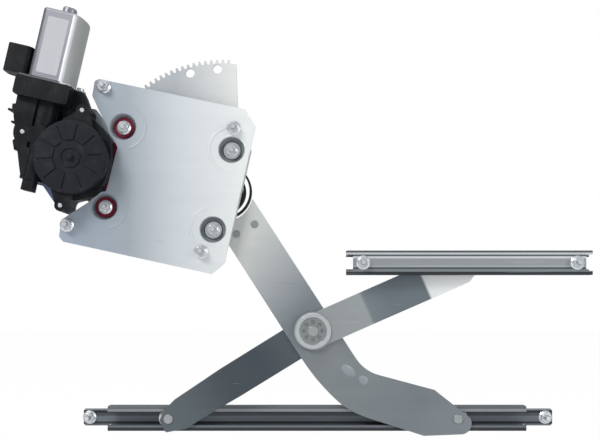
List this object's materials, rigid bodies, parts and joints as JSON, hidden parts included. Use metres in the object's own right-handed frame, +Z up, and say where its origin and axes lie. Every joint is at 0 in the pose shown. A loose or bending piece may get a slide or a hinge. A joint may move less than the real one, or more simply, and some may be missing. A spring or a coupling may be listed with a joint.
{
  "type": "window regulator",
  "caption": "Powered scissor-arm window regulator: motor and worm gearbox on a pressed steel plate, toothed lift arm, equalizer arm, glass channel and guide channel.",
  "frame": {"origin": "On the front face of the mounting plate, midway between its upper left and lower right door studs (mount door_studs_ac).", "axes": "+X towards the channels' right end, +Y away from the cabin through the door, +Z up with the plate and motor turned 13 degrees in the door."},
  "size_m": [0.5792, 0.0751, 0.4302],
  "materials": {
    "zinc_sheet": "zinc-plated pressed sheet, pale blue-grey",
    "zinc_fastener": "bright zinc plate",
    "bright_steel": "machined steel",
    "sector_steel": "fine-blanked steel, zinc-plated",
    "spring_steel": "dark oiled spring strip",
    "maroon_rubber": "moulded maroon rubber",
    "black_plastic": "glass-filled nylon, black",
    "gear_nylon": "natural acetal",
    "roller_plastic": "natural acetal",
    "sintered_bronze": "oil-filled sintered bronze",
    "plated_can": "satin plated deep-drawn can",
    "ferrite": "pressed ferrite",
    "winding_copper": "enamelled copper",
    "carbon": "copper-graphite brush",
    "contact_brass": "tinned brass blade"
  },
  "bodies": {
    "base": {"mounting_plate": "zinc_sheet", "door_studs": "zinc_fastener", "door_stud_nuts": "zinc_fastener", "pivot_bracket": "zinc_sheet", "pivot_pin": "bright_steel", "pivot_ring": "spring_steel", "bracket_studs": "zinc_fastener", "pivot_washers": "zinc_fastener", "pivot_bracket_nuts": "zinc_fastener", "isolator_grommets": "maroon_rubber", "motor_bracket_nuts": "zinc_fastener", "motor_bracket": "zinc_sheet", "isolation_pad": "maroon_rubber", "gearbox_housing": "black_plastic", "gear_cover": "black_plastic", "gearbox_bolts": "zinc_fastener", "output_bush": "sintered_bronze", "motor_flange": "zinc_sheet", "motor_can": "plated_can", "field_magnets": "ferrite", "rear_bearing": "sintered_bronze", "brush_holder": "black_plastic", "brushes": "carbon", "worm_end_bearing": "sintered_bronze", "motor_screws": "zinc_fastener", "connector_shell": "black_plastic", "connector_blades": "contact_brass"},
    "lift_arm": {"lift_arm": "zinc_sheet", "sector_gear": "sector_steel", "sector_rivets": "bright_steel", "pivot_hub": "bright_steel", "spring_post": "bright_steel", "counterbalance_spring": "spring_steel", "lift_roller_pin": "bright_steel"},
    "equalizer": {"equalizer_upper_half": "zinc_sheet", "equalizer_lower_half": "zinc_sheet", "hub_rivet": "bright_steel", "equalizer_roller_pin": "bright_steel", "guide_roller_pin": "bright_steel"},
    "lift_roller": {"lift_roller": "roller_plastic"},
    "equalizer_roller": {"equalizer_roller": "roller_plastic"},
    "guide_roller": {"guide_roller": "roller_plastic"},
    "glass_channel": {"glass_channel": "zinc_sheet", "glass_channel_studs": "zinc_fastener", "glass_channel_nuts": "zinc_fastener"},
    "guide_channel": {"guide_channel": "zinc_sheet", "guide_channel_studs": "zinc_fastener", "guide_channel_nuts": "zinc_fastener"},
    "output_gear": {"worm_wheel": "gear_nylon", "output_pinion": "bright_steel"},
    "armature": {"armature_shaft": "bright_steel", "armature_core": "bright_steel", "armature_windings": "winding_copper", "commutator": "winding_copper"}
  },
  "joints": [
    {"name": "lift_pivot", "type": "hinge", "parent": "base", "child": "lift_arm", "pos_m": [0.06861, 0.0145, -0.02019], "axis": [0, -1, 0], "range_deg": [0, 78], "deforming": ["counterbalance_spring"]},
    {"name": "equalizer_pivot", "type": "hinge", "parent": "lift_arm", "child": "equalizer", "pos_m": [0.16064, 0.01325, -0.16217], "axis": [0, -1, 0], "range_deg": [-156, 0]},
    {"name": "lift_roller_pivot", "type": "hinge", "parent": "lift_arm", "child": "lift_roller", "pos_m": [0.31113, 0.038, -0.25439], "axis": [0, -1, 0], "range_deg": [-78, 0]},
    {"name": "equalizer_roller_pivot", "type": "hinge", "parent": "equalizer", "child": "equalizer_roller", "pos_m": [0.01014, 0.038, -0.25439], "axis": [0, -1, 0], "range_deg": [0, 78]},
    {"name": "guide_roller_pivot", "type": "hinge", "parent": "equalizer", "child": "guide_roller", "pos_m": [0.31545, -0.002, -0.09389], "axis": [0, -1, 0], "range_deg": [0, 78]},
    {"name": "glass_slide", "type": "slide", "parent": "lift_roller", "child": "glass_channel", "axis": [1, 0, 0], "range_m": [-0.055, 0.005]},
    {"name": "guide_slide", "type": "slide", "parent": "guide_roller", "child": "guide_channel", "axis": [1, 0, 0], "range_m": [-0.085, 0.085]},
    {"name": "output_gear_spin", "type": "hinge", "parent": "base", "child": "output_gear", "pos_m": [-0.07572, 0, 0.0081], "axis": [0, -1, 0], "range_deg": [-723, 1]},
    {"name": "armature_spin", "type": "hinge", "parent": "base", "child": "armature", "pos_m": [-0.11165, -0.009, 0.0165], "axis": [0.2275, 0, 0.9738], "range_deg": [0, 52800]}
  ],
  "couplings": [
    {"joint": "equalizer_pivot", "follows": "lift_pivot", "ratio": -2},
    {"joint": "lift_roller_pivot", "follows": "lift_pivot", "ratio": -1},
    {"joint": "equalizer_roller_pivot", "follows": "lift_pivot", "ratio": 1},
    {"joint": "guide_roller_pivot", "follows": "lift_pivot", "ratio": 1},
    {"joint": "output_gear_spin", "follows": "lift_pivot", "ratio": -9.2667},
    {"joint": "armature_spin", "follows": "lift_pivot", "ratio": 676.47}
  ]
}
